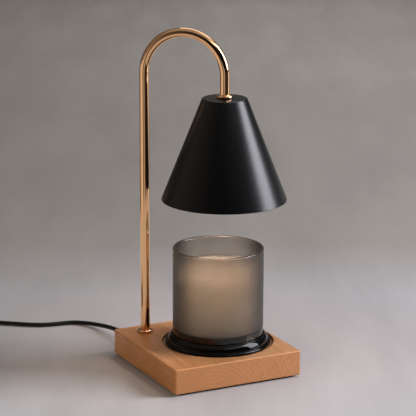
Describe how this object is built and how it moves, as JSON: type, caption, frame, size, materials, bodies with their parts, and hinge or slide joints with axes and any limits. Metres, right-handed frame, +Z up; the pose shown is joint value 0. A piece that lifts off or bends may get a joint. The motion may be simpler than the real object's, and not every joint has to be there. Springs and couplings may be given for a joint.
{
  "type": "candle warmer lamp",
  "caption": "Candle warmer lamp: wooden base, gooseneck post and cone shade with a twist-lock bulb over a jar candle on a saucer, with an in-line dimmer.",
  "frame": {"origin": "centre of the underside of the base, on the surface that it stands on", "axes": "+Z up, +X along the front edge of the base, +Y to the back, where the lead leaves; the post stands in the -X, +Y corner"},
  "size_m": [0.3649, 0.2941, 0.3273],
  "materials": {
    "beech_wood": "oiled, satin, long grain along Y, end grain on the front and back",
    "base_pad": "matt black foam rubber",
    "gold_metal": "polished, warm rose gold plating",
    "black_shade": "satin black powder coat",
    "zinc_steel": "zinc plated",
    "white_ceramic": "unglazed, off-white",
    "contact_brass": "plain spring strip",
    "reflector_glass": "metallised pressed glass",
    "clear_glass": "clear",
    "smoke_glass": "smoked grey, frosted inside, clear rim and bottom",
    "cream_wax": "cream wax, soft sheen",
    "wick_cotton": "waxed cotton",
    "tin_plate": "thin tin plate",
    "black_glaze": "glossy black glaze",
    "black_cord": "smooth black PVC sheath",
    "black_plastic": "fine matt texture",
    "grey_dial": "satin, notched rim",
    "circuit_board": "green laminate",
    "chip_black": "moulded"
  },
  "bodies": {
    "stand": {"wood_base": "beech_wood", "base_pad": "base_pad", "cavity_cover": "black_plastic", "cavity_cover_screws": "zinc_steel", "post_washer": "zinc_steel", "post_nut": "zinc_steel", "foot_collar": "gold_metal", "gooseneck_tube": "gold_metal", "inner_lead": "black_cord", "base_cord_gland": "black_plastic", "shade_collar": "gold_metal", "lamp_shade": "black_shade", "holder_bracket": "zinc_steel", "head_washer": "zinc_steel", "head_nut": "zinc_steel", "lampholder": "white_ceramic", "lampholder_contacts": "contact_brass", "holder_screws": "zinc_steel", "lamp_cord": "black_cord", "dimmer_lower_shell": "black_plastic", "dimmer_upper_shell": "black_plastic", "dimmer_potentiometer": "chip_black", "dimmer_board": "circuit_board", "dimmer_components": "chip_black", "dimmer_screws": "zinc_steel", "dimmer_reliefs": "black_cord", "dimmer_lead_ends": "black_cord", "mains_cord": "black_cord", "cord_coil": "black_cord", "coil_tie": "black_plastic", "plug_cord": "black_cord", "plug_body": "black_plastic", "plug_blades": "zinc_steel"},
    "bulb": {"bulb_base": "white_ceramic", "bulb_pins": "zinc_steel", "bulb_reflector": "reflector_glass", "bulb_lens": "clear_glass", "bulb_capsule": "clear_glass"},
    "saucer": {"candle_saucer": "black_glaze"},
    "candle": {"candle_jar": "smoke_glass", "candle_wax": "cream_wax", "candle_wick": "wick_cotton", "wick_sustainer": "tin_plate"},
    "dimmer_dial": {"dimmer_wheel": "grey_dial", "dimmer_shaft": "zinc_steel"}
  },
  "joints": [
    {"name": "bulb_twist", "type": "hinge", "parent": "stand", "child": "bulb", "pos_m": [0.0153, -0.0072, 0.21], "axis": [0, 0, 1], "range_deg": [0, 45]},
    {"name": "saucer_lift", "type": "slide", "parent": "stand", "child": "saucer", "axis": [0, 0, 1], "range_m": [0, 0.015]},
    {"name": "candle_lift", "type": "slide", "parent": "saucer", "child": "candle", "axis": [0, 0, 1], "range_m": [0, 0.028]},
    {"name": "dimmer_turn", "type": "hinge", "parent": "stand", "child": "dimmer_dial", "pos_m": [-0.196, 0.13, 0.009], "axis": [0, 0, 1], "range_deg": [0, 270]}
  ]
}
